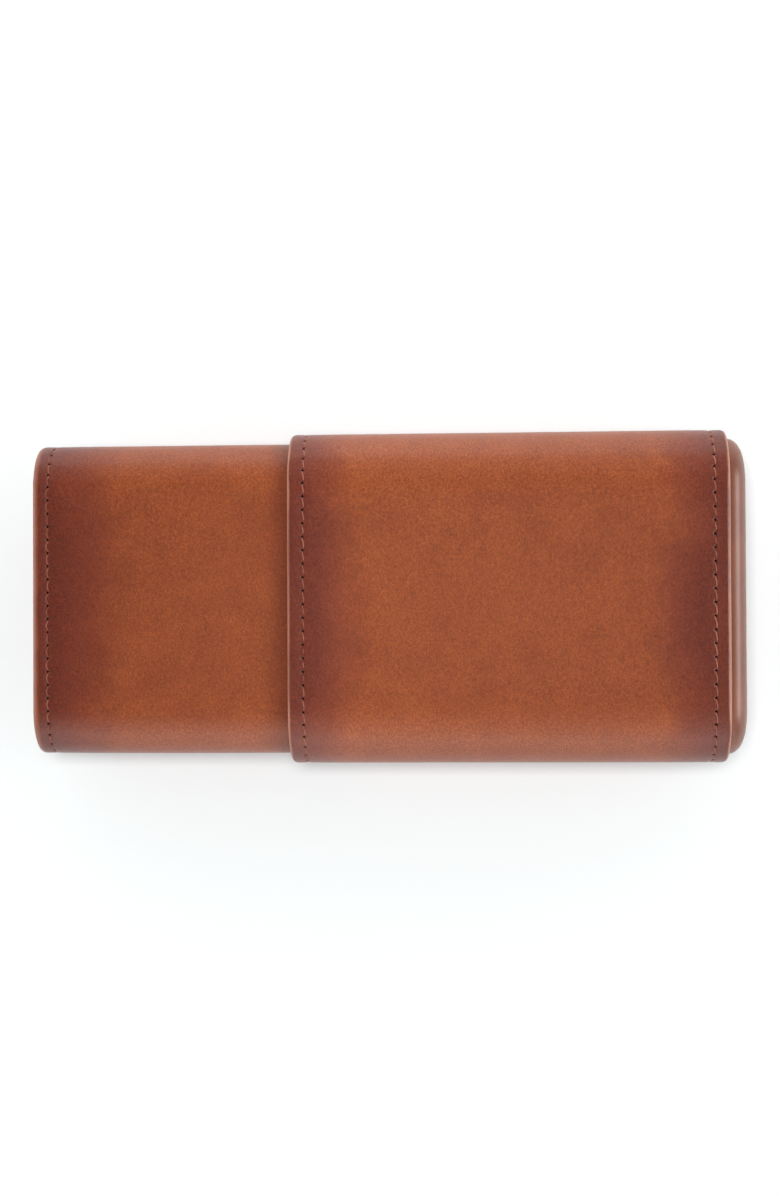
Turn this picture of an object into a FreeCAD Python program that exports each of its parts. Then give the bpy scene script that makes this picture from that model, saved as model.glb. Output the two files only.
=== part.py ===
"""Telescoping leather brush case.

Two flattened leather tubes, each closed at its far end. The inner half slides in the outer half, held by the
snug fit of its leather. X runs along the case, from the inner half's closed end to the outer half's domed end;
Z is up, and the case lies on its flat side at Z = 0. Millimetres.

Every half is built in layers: a stitched leather cover, a stiff core board, a suede lining, and a moulded leather
end cap whose skirt is held under the cover by the end stitching. Each tube's section is the same rounded outline,
inset by the layers that lie outside it.
"""
import FreeCAD, Part
import math
import os

import Sketcher

PARTS_FOLDER = "parts"

# Driving dimensions. Each becomes a cell of the sheet, with the same word as its alias.
SIZES = {
    # the outer half's outside
    "case_width": 90.0,
    "case_height": 31.0,
    "side_round": 15.0,
    "outer_length": 117.6,
    # the inner half: its cover's length, and how much of it stands out of the outer half at rest
    "inner_length": 118.6,
    "exposed_length": 69.7,
    # the layers, and the room between the halves
    "cover_thick": 1.2,
    "core_thick": 0.7,
    "lining_thick": 0.4,
    "slide_gap": 0.3,
    "core_setback": 0.6,
    "glue_line": 0.1,
    # the moulded end caps
    "skirt_length": 9.0,
    "dome_depth": 5.1,
    "dome_foot": 0.8,
    "dome_step": 1.0,
    "dome_spread": 10.5,
    "former_back": 3.0,
    "end_recess": 0.8,
    "end_round": 1.1,
    "board_thick": 1.2,
    "facing_thick": 0.5,
    # rounded rims of the covers
    "rim_round": 1.0,
    # stitching, its grooves, and the seam that closes each cover underneath
    "stitch_pitch": 3.6,
    "stitch_length": 3.0,
    "thread_width": 0.5,
    "thread_depth": 0.34,
    "groove_depth": 0.7,
    "groove_width": 0.9,
    "stitch_margin": 4.2,
    "seam_slit": 0.3,
    "seam_offset": 2.2,
    "seam_setback": 8.0,
}

# Layers that lie outside each surface, counted in from the outer half's outside.
OUTER_COVER = ()
OUTER_CORE = OUTER_COVER + ("cover_thick",)
OUTER_LINING = OUTER_CORE + ("core_thick",)
OUTER_BORE = OUTER_LINING + ("lining_thick",)
INNER_COVER = OUTER_BORE + ("slide_gap",)
INNER_CORE = INNER_COVER + ("cover_thick",)
INNER_LINING = INNER_CORE + ("core_thick",)
INNER_BORE = INNER_LINING + ("lining_thick",)

DOME_STEPS = 9
DOME_POWER = 2.7  # 2 is an ellipse, and more is squarer
CLEAR = 2.0  # how far a cutting outline stands off the material it cuts

doc = FreeCAD.newDocument("brush_case")


def make_sheet():
    """The spreadsheet that holds the driving dimensions."""
    sheet = doc.addObject("Spreadsheet::Sheet", "sizes")
    for row, (alias, value) in enumerate(SIZES.items(), start=1):
        sheet.set(f"A{row}", alias)
        sheet.set(f"B{row}", str(value))
        sheet.setAlias(f"B{row}", alias)
    doc.recompute()


def size(name):
    """A driving dimension, as the sheet holds it."""
    return float(doc.getObject("sizes").get(name))


def total(names):
    return sum(size(name) for name in names)


def cells(names):
    """The same sum as total(), written as an expression on the sheet."""
    return " + ".join(f"sizes.{name}" for name in names) if names else "0"


# ---------------------------------------------------------------- sketches and features


def new_body(label):
    body = doc.addObject("PartDesign::Body", label)
    body.Label = label
    return body


def new_sketch(body, name, along="0"):
    """A sketch across the case, at a distance along it: sketch x is Y, sketch y is Z."""
    sketch = body.newObject("Sketcher::SketchObject", name)
    plane = next(f for f in body.Origin.OriginFeatures if f.Role == "YZ_Plane")
    sketch.AttachmentSupport = [(plane, "")]
    sketch.MapMode = "FlatFace"
    sketch.setExpression("AttachmentOffset.Base.z", along)
    return sketch


def bind(sketch, constraint, name, expression):
    """Adds a dimension to the sketch and ties it to the sheet."""
    index = sketch.addConstraint(constraint)
    sketch.renameConstraint(index, name)
    sketch.setExpression(f"Constraints.{name}", expression)


def add_outline(sketch, name, inset, inset_text):
    """A rounded rectangle centred on the origin: the case's outside, inset on every side."""
    radius = size("side_round") - inset
    half_width = size("case_width") / 2 - inset
    half_height = size("case_height") / 2 - inset
    centre_y, centre_z = half_width - radius, half_height - radius
    corners = [(centre_y, centre_z), (-centre_y, centre_z), (-centre_y, -centre_z), (centre_y, -centre_z)]
    arcs = []
    for quarter, (y, z) in enumerate(corners):
        circle = Part.Circle(FreeCAD.Vector(y, z, 0), FreeCAD.Vector(0, 0, 1), radius)
        arc = Part.ArcOfCircle(circle, quarter * math.pi / 2, (quarter + 1) * math.pi / 2)
        arcs.append((sketch.addGeometry(arc, False), arc))
    lines = []
    for quarter, (_, arc) in enumerate(arcs):
        following = arcs[(quarter + 1) % 4][1]
        lines.append(sketch.addGeometry(Part.LineSegment(arc.EndPoint, following.StartPoint), False))
    for quarter in range(4):
        arc, line, following = arcs[quarter][0], lines[quarter], arcs[(quarter + 1) % 4][0]
        sketch.addConstraint(Sketcher.Constraint("Tangent", arc, 2, line, 1))
        sketch.addConstraint(Sketcher.Constraint("Tangent", line, 2, following, 1))
        sketch.addConstraint(Sketcher.Constraint("Vertical" if quarter % 2 else "Horizontal", line))
    for quarter in (1, 2, 3):
        sketch.addConstraint(Sketcher.Constraint("Equal", arcs[0][0], arcs[quarter][0]))
    sketch.addConstraint(Sketcher.Constraint("Symmetric", arcs[0][0], 3, arcs[2][0], 3, -1, 1))
    bind(sketch, Sketcher.Constraint("Radius", arcs[0][0], radius), f"{name}_radius",
         f"sizes.side_round - ({inset_text})")
    bind(sketch, Sketcher.Constraint("DistanceX", lines[1], 1, lines[3], 1, 2 * half_width), f"{name}_width",
         f"sizes.case_width - 2 * ({inset_text})")
    bind(sketch, Sketcher.Constraint("DistanceY", lines[2], 1, lines[0], 1, 2 * half_height), f"{name}_height",
         f"sizes.case_height - 2 * ({inset_text})")


def add_slot(sketch, name, outside, across, across_text, width_name, depth_name):
    """A rectangle that cuts a depth up into a tube's underside. across is where its middle lies in Y."""
    width, depth = size(width_name), size(depth_name)
    underside = -size("case_height") / 2 + total(outside)
    low, high = underside - CLEAR, underside + depth
    left, right = across - width / 2, across + width / 2
    points = [FreeCAD.Vector(y, z, 0) for y, z in ((left, low), (right, low), (right, high), (left, high))]
    sides = [
        sketch.addGeometry(Part.LineSegment(points[side], points[(side + 1) % 4]), False) for side in range(4)
    ]
    for side in range(4):
        sketch.addConstraint(Sketcher.Constraint("Coincident", sides[side], 2, sides[(side + 1) % 4], 1))
        sketch.addConstraint(Sketcher.Constraint("Vertical" if side % 2 else "Horizontal", sides[side]))
    bind(sketch, Sketcher.Constraint("DistanceX", -1, 1, sides[0], 1, left), f"{name}_left",
         f"{across_text} - sizes.{width_name} / 2")
    bind(sketch, Sketcher.Constraint("DistanceX", sides[0], 1, sides[0], 2, width), f"{name}_width",
         f"sizes.{width_name}")
    bind(sketch, Sketcher.Constraint("DistanceY", -1, 1, sides[2], 1, high), f"{name}_top",
         f"-sizes.case_height / 2 + {cells(outside)} + sizes.{depth_name}")
    bind(sketch, Sketcher.Constraint("DistanceY", sides[0], 1, sides[2], 1, high - low), f"{name}_height",
         f"sizes.{depth_name} + {CLEAR}")


def pad(body, sketch, length):
    feature = body.newObject("PartDesign::Pad", "pad")
    feature.Profile = sketch
    feature.setExpression("Length", length)
    doc.recompute()
    return feature


def pocket(body, sketch, length):
    """Cuts the sketch's profile out of the body, towards +X, and makes sure that it did cut."""
    before = body.Shape.Volume
    feature = body.newObject("PartDesign::Pocket", "pocket")
    feature.Profile = sketch
    feature.Reversed = True
    feature.setExpression("Length", length)
    doc.recompute()
    if body.Shape.Volume > before - 1e-3:
        raise RuntimeError(f"{body.Label}: {sketch.Name} cut nothing")
    return feature


def round_rim(body, along, radius_name):
    """Rounds the outer edge of the body's flat end at a distance along it."""
    base = body.Tip
    shape = base.Shape
    rim_edges = []
    for face in shape.Faces:
        box = face.BoundBox
        if box.XLength < 1e-6 and abs(box.XMin - along) < 1e-6:
            rim_edges += face.OuterWire.Edges
    names = [
        f"Edge{number}"
        for number, edge in enumerate(shape.Edges, start=1)
        if any(edge.isSame(rim) for rim in rim_edges)
    ]
    fillet = body.newObject("PartDesign::Fillet", "rim")
    fillet.Base = (base, names)
    fillet.setExpression("Radius", f"sizes.{radius_name}")
    doc.recompute()


def make_tube(label, outside, inside, start, length):
    """A tube between two outlines of the family. start and length are expressions on the sheet."""
    body = new_body(label)
    sketch = new_sketch(body, f"{label}_section", start)
    add_outline(sketch, "outside", total(outside), cells(outside))
    add_outline(sketch, "inside", total(inside), cells(inside))
    pad(body, sketch, length)
    return body


def make_plate(label, outside, start, thick_name):
    """A flat plate that fills an outline, a glue line smaller all round."""
    body = new_body(label)
    sketch = new_sketch(body, f"{label}_section", start)
    edge = outside + ("glue_line",)
    add_outline(sketch, "outside", total(edge), cells(edge))
    pad(body, sketch, f"sizes.{thick_name}")
    return body


# ---------------------------------------------------------------- covers


def cut_stitch_groove(body, outside, middle):
    """A groove round the tube for a row of stitches. middle is the expression of the row's place."""
    floor = outside + ("groove_depth",)
    sketch = new_sketch(body, f"{body.Label}_groove", f"{middle} - sizes.groove_width / 2")
    add_outline(sketch, "clear", total(outside) - CLEAR, f"{cells(outside)} - {CLEAR}")
    add_outline(sketch, "floor", total(floor), cells(floor))
    pocket(body, sketch, "sizes.groove_width")


def cut_seam(body, outside, length_name):
    """The joint underneath, where the cover's two edges meet, and a stitch groove along each side of it."""
    slit = new_sketch(body, f"{body.Label}_slit")
    add_slot(slit, "slit", outside, 0.0, "0", "seam_slit", "cover_thick")
    pocket(body, slit, f"sizes.{length_name}")
    for side, name in ((-1, "left"), (1, "right")):
        groove = new_sketch(body, f"{body.Label}_{name}_groove", "sizes.seam_setback")
        add_slot(groove, "groove", outside, side * size("seam_offset"), f"{side} * sizes.seam_offset",
                 "groove_width", "groove_depth")
        pocket(body, groove, f"sizes.{length_name} - 2 * sizes.seam_setback")


def make_cover(label, outside, inside, length_name, first_row, last_row):
    """A leather cover: a tube with rounded rims, a stitch groove near each end, and its seam underneath."""
    body = make_tube(label, outside, inside, "0", f"sizes.{length_name}")
    round_rim(body, 0.0, "rim_round")
    round_rim(body, size(length_name), "rim_round")
    cut_stitch_groove(body, outside, first_row)
    cut_stitch_groove(body, outside, last_row)
    cut_seam(body, outside, length_name)
    return body


# ---------------------------------------------------------------- end caps


def dome_sections(body, name, outside, taken, behind):
    """Sketches of a dome that closes in from an outline: a quarter superellipse along every part of the edge.

    Its foot lies dome_foot inside the cover's end, and further back by the cells in behind. taken lists the cells
    that come off its spread, for an inner surface.
    """
    sections = []
    foot_text = " - ".join(["sizes.outer_length", "sizes.dome_foot"] + [f"sizes.{cell}" for cell in behind])
    spread = size("dome_spread") - total(taken)
    for step in range(DOME_STEPS + 1):
        angle = math.pi / 2 * step / DOME_STEPS
        rise = math.sin(angle) ** (2 / DOME_POWER)
        run = 1 - max(0.0, math.cos(angle)) ** (2 / DOME_POWER)
        sketch = new_sketch(body, f"{name}_{step}",
                            f"{foot_text} + {rise:.6f} * (sizes.dome_depth + sizes.dome_foot)")
        add_outline(sketch, "edge", total(outside) + run * spread,
                    f"{cells(outside)} + {run:.6f} * (sizes.dome_spread - ({cells(taken)}))")
        sections.append(sketch)
    doc.recompute()
    return sections


def loft(body, kind, sections):
    before = body.Shape.Volume
    feature = body.newObject(f"PartDesign::{kind}", kind.lower())
    feature.Profile = sections[0]
    feature.Sections = sections[1:]
    feature.Ruled = False
    doc.recompute()
    if abs(body.Shape.Volume - before) < 1.0:
        raise RuntimeError(f"{body.Label}: {kind} changed nothing")


def make_domed_cap(label):
    """The moulded cap at the outer half's end: a skirt under the cover, a step in, and a pillow-shaped dome."""
    body = new_body(label)
    wall = ("core_thick", "lining_thick")
    skirt_start = "sizes.outer_length - sizes.skirt_length"
    skirt = new_sketch(body, f"{label}_skirt", skirt_start)
    add_outline(skirt, "outside", total(OUTER_CORE), cells(OUTER_CORE))
    pad(body, skirt, "sizes.skirt_length - sizes.dome_foot")
    loft(body, "AdditiveLoft",
         dome_sections(body, f"{label}_dome", OUTER_CORE + ("dome_step",), (), ()))
    hollow = new_sketch(body, f"{label}_hollow", skirt_start)
    add_outline(hollow, "inside", total(OUTER_BORE), cells(OUTER_BORE))
    pocket(body, hollow, f"sizes.skirt_length - sizes.dome_foot - ({cells(wall)})")
    loft(body, "SubtractiveLoft",
         dome_sections(body, f"{label}_hollow_dome", OUTER_BORE + ("dome_step",), wall, wall))
    return body


def make_dome_former(label):
    """The block that fills the dome and keeps its shape: domed in front and flat behind."""
    body = new_body(label)
    edge = OUTER_BORE + ("glue_line",)
    behind = ("core_thick", "lining_thick", "glue_line")
    back = new_sketch(body, f"{label}_back", "sizes.outer_length - sizes.former_back")
    add_outline(back, "outside", total(edge), cells(edge))
    pad(body, back, f"sizes.former_back - sizes.dome_foot - ({cells(behind)})")
    loft(body, "AdditiveLoft",
         dome_sections(body, f"{label}_dome", edge + ("dome_step",), behind, behind))
    return body


def make_flat_cap(label):
    """The moulded cap at the inner half's end: a shallow cup, set just inside the cover's rim."""
    body = new_body(label)
    cup = new_sketch(body, f"{label}_cup", "sizes.end_recess")
    add_outline(cup, "outside", total(INNER_CORE), cells(INNER_CORE))
    pad(body, cup, "sizes.skirt_length")
    round_rim(body, size("end_recess"), "end_round")
    wall = "sizes.core_thick + sizes.lining_thick"
    hollow = new_sketch(body, f"{label}_hollow", f"sizes.end_recess + {wall}")
    add_outline(hollow, "inside", total(INNER_BORE), cells(INNER_BORE))
    pocket(body, hollow, "sizes.skirt_length")
    return body


# ---------------------------------------------------------------- stitches


def outline_length(inset):
    radius = size("side_round") - inset
    flat = size("case_width") + size("case_height") - 4 * size("side_round")
    return 2 * flat + 2 * math.pi * radius


def outline_point(inset, distance):
    """The (y, z) on the inset outline at a distance round it from the top's left end, and its outward normal."""
    radius = size("side_round") - inset
    across = size("case_width") - 2 * size("side_round")
    upright = size("case_height") - 2 * size("side_round")
    quarter = math.pi / 2 * radius
    y, z, heading = -across / 2, upright / 2 + radius, 0.0
    distance %= outline_length(inset)
    for straight in (across, upright, across, upright):
        step = min(distance, straight)
        y, z = y + step * math.cos(heading), z + step * math.sin(heading)
        distance -= step
        if distance <= 0:
            break
        turn = min(distance, quarter) / radius
        centre_y, centre_z = y + radius * math.sin(heading), z - radius * math.cos(heading)
        heading -= turn
        y, z = centre_y - radius * math.sin(heading), centre_z + radius * math.cos(heading)
        distance -= turn * radius
        if distance <= 0:
            break
    return (y, z), (-math.sin(heading), math.cos(heading))


def capsule(start, end):
    """One stitch: a length of thread with round ends, from end to end of its run."""
    radius = size("thread_width") / 2
    reach = (end - start).Length
    top = FreeCAD.Vector(radius, 0, radius)
    profile = Part.Wire([
        Part.Arc(FreeCAD.Vector(0, 0, 0),
                 FreeCAD.Vector(radius * math.sin(math.pi / 4), 0, radius * (1 - math.cos(math.pi / 4))),
                 top).toShape(),
        Part.LineSegment(top, FreeCAD.Vector(radius, 0, reach - radius)).toShape(),
        Part.Arc(FreeCAD.Vector(radius, 0, reach - radius),
                 FreeCAD.Vector(radius * math.sin(math.pi / 4), 0,
                                reach - radius * (1 - math.cos(math.pi / 4))),
                 FreeCAD.Vector(0, 0, reach)).toShape(),
        Part.LineSegment(FreeCAD.Vector(0, 0, reach), FreeCAD.Vector(0, 0, 0)).toShape(),
    ])
    solid = Part.Face(profile).revolve(FreeCAD.Vector(0, 0, 0), FreeCAD.Vector(0, 0, 1), 360)
    turn = FreeCAD.Rotation(FreeCAD.Vector(0, 0, 1), end - start)
    solid.Placement = FreeCAD.Placement(start, turn)
    return solid


def thread_point(along, inset, distance):
    """A point of the thread's middle line, in its groove round the tube."""
    (y, z), (out_y, out_z) = outline_point(inset, distance)
    depth = size("thread_depth")
    return FreeCAD.Vector(along, y - out_y * depth, z - out_z * depth)


def rim_row(outside, along):
    """The stitches of one row round a tube."""
    inset = total(outside)
    length = outline_length(inset)
    count = round(length / size("stitch_pitch"))
    half = size("stitch_length") / 2
    stitches = []
    for number in range(count):
        middle = (number + 0.5) * length / count
        stitches.append(capsule(thread_point(along, inset, middle - half),
                                thread_point(along, inset, middle + half)))
    return stitches


def seam_rows(outside, length_name):
    """The two rows of stitches beside the seam underneath."""
    run = size(length_name) - 2 * size("seam_setback")
    count = int(run / size("stitch_pitch"))
    half = size("stitch_length") / 2
    z = -size("case_height") / 2 + total(outside) + size("thread_depth")
    stitches = []
    for side in (-1, 1):
        y = side * size("seam_offset")
        for number in range(count):
            middle = size("seam_setback") + (number + 0.5) * run / count
            stitches.append(capsule(FreeCAD.Vector(middle - half, y, z), FreeCAD.Vector(middle + half, y, z)))
    return stitches


def make_thread(label, stitches):
    feature = doc.addObject("Part::Feature", label)
    feature.Label = label
    feature.Shape = Part.makeCompound(stitches)
    return feature


# ---------------------------------------------------------------- the two halves

AT_MOUTH = "sizes.core_setback"
LINER_LENGTH = "sizes.{0} - sizes.skirt_length - sizes.core_setback"
LEFT_END = "-(sizes.exposed_length + sizes.outer_length + sizes.dome_depth) / 2"
HALF_HEIGHT = "sizes.case_height / 2"


def make_outer_half():
    """The outer half, from its mouth at 0 to the dome beyond outer_length."""
    liner = LINER_LENGTH.format("outer_length")
    facing_start = "sizes.outer_length - sizes.former_back - sizes.facing_thick"
    return [
        make_cover("outer_cover", OUTER_COVER, OUTER_CORE, "outer_length",
                   "sizes.stitch_margin", "sizes.outer_length - sizes.stitch_margin"),
        make_tube("outer_core", OUTER_CORE, OUTER_LINING, AT_MOUTH, liner),
        make_tube("outer_lining", OUTER_LINING, OUTER_BORE, AT_MOUTH, liner),
        make_domed_cap("outer_end_cap"),
        make_dome_former("outer_end_former"),
        make_plate("outer_end_facing", OUTER_BORE, facing_start, "facing_thick"),
        make_thread("outer_mouth_stitches", rim_row(OUTER_COVER, size("stitch_margin"))),
        make_thread("outer_end_stitches",
                    rim_row(OUTER_COVER, size("outer_length") - size("stitch_margin"))),
        make_thread("outer_seam_stitches", seam_rows(OUTER_COVER, "outer_length")),
    ]


def make_inner_half():
    """The inner half, from its closed end at 0 to its mouth at inner_length."""
    liner = LINER_LENGTH.format("inner_length")
    liner_start = "sizes.skirt_length + sizes.end_recess"
    liner = f"{liner} - sizes.end_recess"
    wall = "sizes.core_thick + sizes.lining_thick"
    board_start = f"sizes.end_recess + {wall}"
    return [
        make_cover("inner_cover", INNER_COVER, INNER_CORE, "inner_length",
                   "sizes.stitch_margin", "sizes.inner_length - sizes.stitch_margin"),
        make_tube("inner_core", INNER_CORE, INNER_LINING, liner_start, liner),
        make_tube("inner_lining", INNER_LINING, INNER_BORE, liner_start, liner),
        make_flat_cap("inner_end_cap"),
        make_plate("inner_end_board", INNER_BORE, board_start, "board_thick"),
        make_plate("inner_end_facing", INNER_BORE, f"{board_start} + sizes.board_thick", "facing_thick"),
        make_thread("inner_end_stitches", rim_row(INNER_COVER, size("stitch_margin"))),
        make_thread("inner_mouth_stitches",
                    rim_row(INNER_COVER, size("inner_length") - size("stitch_margin"))),
        make_thread("inner_seam_stitches", seam_rows(INNER_COVER, "inner_length")),
    ]


def place(pieces, along):
    """Puts a half where it lies at rest: the case is centred on the origin and rests on Z = 0."""
    for piece in pieces:
        piece.setExpression("Placement.Base.x", along)
        piece.setExpression("Placement.Base.z", HALF_HEIGHT)


def check_document():
    failed = [o.Name for o in doc.Objects if "Invalid" in o.State or "Error" in o.State]
    if failed:
        raise RuntimeError(f"these objects failed: {failed}")


def export(pieces):
    os.makedirs(PARTS_FOLDER, exist_ok=True)
    for piece in pieces:
        shape = piece.Shape
        if shape.isNull() or not shape.isValid() or shape.Volume <= 0:
            raise RuntimeError(f"{piece.Label} has no valid solid")
    for piece in pieces:
        box = piece.Shape.BoundBox
        piece.Shape.exportStep(os.path.join(PARTS_FOLDER, f"{piece.Label}.step"))
        print(f"{piece.Label}: {len(piece.Shape.Solids)} solids, {piece.Shape.Volume:.0f} mm3, "
              f"x {box.XMin:.2f} to {box.XMax:.2f}, y {box.YMin:.2f} to {box.YMax:.2f}, "
              f"z {box.ZMin:.2f} to {box.ZMax:.2f}")


make_sheet()
outer_half = make_outer_half()
inner_half = make_inner_half()
place(outer_half, f"{LEFT_END} + sizes.exposed_length")
place(inner_half, LEFT_END)
doc.recompute()
check_document()
export(outer_half + inner_half)
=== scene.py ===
"""Looks of the telescoping leather brush case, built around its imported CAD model.

X runs along the case, Y across it, Z up, in metres, as in the CAD model. Covers, linings, facings and end
caps are closed meshes swept round the case's rounded section, and each stitch is a strand of its own. Every
piece rides on the half that it belongs to. The boards inside keep the CAD model's shape, and only get a
material.
"""
import math

import bpy
import numpy as np
from mathutils import Matrix, Vector


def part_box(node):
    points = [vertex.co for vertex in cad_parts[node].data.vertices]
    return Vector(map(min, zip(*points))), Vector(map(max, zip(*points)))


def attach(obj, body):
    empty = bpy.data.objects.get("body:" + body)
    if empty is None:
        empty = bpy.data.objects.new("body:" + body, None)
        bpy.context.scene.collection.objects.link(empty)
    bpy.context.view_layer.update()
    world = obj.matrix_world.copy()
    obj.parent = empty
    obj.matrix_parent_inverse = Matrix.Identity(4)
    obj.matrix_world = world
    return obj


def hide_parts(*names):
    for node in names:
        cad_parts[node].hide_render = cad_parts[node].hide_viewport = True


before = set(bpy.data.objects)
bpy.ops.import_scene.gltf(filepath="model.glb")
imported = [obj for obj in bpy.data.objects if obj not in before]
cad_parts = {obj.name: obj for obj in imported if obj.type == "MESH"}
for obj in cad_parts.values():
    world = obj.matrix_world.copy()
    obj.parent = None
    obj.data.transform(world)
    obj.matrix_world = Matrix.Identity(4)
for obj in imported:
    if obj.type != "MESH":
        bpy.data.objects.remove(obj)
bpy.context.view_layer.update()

MM = 0.001

# The case's section: a rounded rectangle, with the other layers inset from the outer half's outside.
SIDE_ROUND = 15.0 * MM
COVER_THICK = 1.2 * MM
CORE_THICK = 0.7 * MM
LINING_THICK = 0.4 * MM
SLIDE_GAP = 0.3 * MM
CAP_WALL = CORE_THICK + LINING_THICK
INNER_INSET = COVER_THICK + CORE_THICK + LINING_THICK + SLIDE_GAP

# How far a cover's top spreads the bend on each side of the turn from flat to round. The inner cover has less
# room.
OUTER_EASE = 7.0 * MM
INNER_EASE = 3.0 * MM

# Stitching. A row of stitches runs round a cover, and two rows run along its seam underneath.
STITCH_PITCH = 3.6 * MM
THREAD_RADIUS = 0.165 * MM
SEAM_SLANT = 0.25 * MM
HOLE_RADIUS = 0.31 * MM
HOLE_DEPTH = 0.85 * MM
HOLE_STEEPNESS = 1.6
BED_WIDTH = 0.42 * MM
ROW_MARGIN = 4.2 * MM
SEAM_OFFSET = 2.2 * MM
SEAM_SETBACK = 8.0 * MM
# How the stitches of a row lie beside its line: where they start and end, and how far they bow, towards +X.
SLANTED_LIE = (-0.14 * MM, 0.32 * MM, 0.15 * MM)
CURVED_LIE = (0.28 * MM, 0.30 * MM, -0.58 * MM)

# The covers' rims: a quarter ellipse rolls the outside in, and a small bevel rolls out the inside.
RIM_REACH = 1.4 * MM
RIM_DROP = 0.95 * MM
INSIDE_BEVEL = 0.25 * MM
RELIEF_FADES = 0.8 * MM  # a cover's relief fades over this length to its rim, down to this share
RELIEF_AT_RIM = 0.15

# How uneven the leather and the suede are.
COVER_WAVES = 0.10 * MM
LINING_WAVES = 0.07 * MM

# The dome at the outer half's end. Its foot is inside the cover's rim, a step in from the skirt.
DOME_FOOT = 0.8 * MM
DOME_STEP = 1.0 * MM
DOME_SPREAD = 10.5 * MM
DOME_POWER = 2.7  # 2 is an ellipse, and more is squarer

# The cup at the inner half's end: its rounded edge, and how far its face is crowned.
CUP_EDGE = 1.3 * MM
CUP_CROWN = 0.45 * MM

# The suede facings over the end boards: a gap round them, and their soft edge.
FACING_GAP = 0.1 * MM
FACING_EDGE = 0.3 * MM

outer_low, outer_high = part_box("outer_cover")
inner_low, inner_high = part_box("inner_cover")
dome_low, dome_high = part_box("outer_end_cap")
MIDDLE_Z = (outer_low.z + outer_high.z) / 2
HALF_WIDTH = (outer_high.y - outer_low.y) / 2
HALF_HEIGHT = (outer_high.z - outer_low.z) / 2


# ---------------------------------------------------------------- the section


class Section:
    """A rounded rectangle across the case, walked by length from the middle of its underside towards +Y.

    walk() gives a spine point and an outward normal for each distance. The outline lies one radius out from
    the spine along the normal, and every inset of it lies along the same normals.
    """

    def __init__(self, inset):
        self.radius = SIDE_ROUND - inset
        self.flat = HALF_WIDTH - SIDE_ROUND
        self.upright = HALF_HEIGHT - SIDE_ROUND
        quarter = math.pi / 2 * self.radius
        self.length = 4 * (self.flat + self.upright + quarter)
        self.runs = [self.flat, quarter, 2 * self.upright, quarter, 2 * self.flat,
                     quarter, 2 * self.upright, quarter, self.flat]

    def walk(self, distances):
        """Arrays of the spine's y and z, and of the normal's y and z."""
        distances = np.mod(distances, self.length)
        y, z, heading = 0.0, -self.upright, -math.pi / 2
        spine = np.zeros((len(distances), 2))
        normal = np.zeros((len(distances), 2))
        start = 0.0
        slack = 1e-12  # so that rounding doesn't lose a distance at the end of the last run
        for number, run in enumerate(self.runs):
            here = (distances >= start) & (distances <= start + run + slack)
            gone = distances[here] - start
            if number % 2:  # the runs are straight and turning by turns, and start straight
                angle = heading + gone / self.radius
                spine[here] = (y, z)
                heading += math.pi / 2
            else:
                angle = np.full(len(gone), heading)
                step_y, step_z = -math.sin(heading), math.cos(heading)
                spine[here, 0] = y + gone * step_y
                spine[here, 1] = z + gone * step_z
                y, z = y + run * step_y, z + run * step_z
            normal[here, 0] = np.cos(angle)
            normal[here, 1] = np.sin(angle)
            start += run
        return spine, normal


def even_distances(section, flat_steps, quarter_steps):
    """Distances with even steps on each straight run and each quarter turn of a section."""
    found, start = [], 0.0
    for number, run in enumerate(section.runs):
        steps = quarter_steps if number % 2 else max(1, round(flat_steps * run / section.flat))
        found += list(start + run * np.arange(steps) / steps)
        start += run
    return np.array(found)


def merged(*groups, gap):
    """Every value in the groups, in order, leaving out any that is nearer than gap to the one before."""
    values = np.sort(np.concatenate([np.atleast_1d(group) for group in groups]))
    kept = [values[0]]
    for value in values[1:]:
        if value - kept[-1] >= gap:
            kept.append(value)
    return np.array(kept)


# ---------------------------------------------------------------- meshes


MARKED_FROM = 0.30  # a face takes the marked material when its marks average more than this
AT_MIDDLE = 0.5 * MM  # how near to the spine an end piece's profile comes, so that its last face isn't a line


def new_piece(name, vertices, faces, body, slot, material, replaced=(), marks=None, marked=None):
    """A piece of the case.

    marks is a number for each vertex, which its material reads as "marks". Faces whose marks are high on
    average take the material marked instead.
    """
    mesh = bpy.data.meshes.new(name)
    mesh.from_pydata(vertices, [], faces)
    mesh.validate()
    mesh.shade_smooth()
    if marks is not None:
        mesh.attributes.new("marks", "FLOAT", "POINT").data.foreach_set("value", marks)
    mesh.materials.append(material)
    if marked is not None:
        mesh.materials.append(marked)
        inside = np.array(marks)[np.array(faces)].mean(axis=1) > MARKED_FROM
        mesh.polygons.foreach_set("material_index", inside.astype(int))
    piece = bpy.data.objects.new(name, mesh)
    bpy.context.scene.collection.objects.link(piece)
    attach(piece, body)
    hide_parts(*replaced)
    return piece


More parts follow.
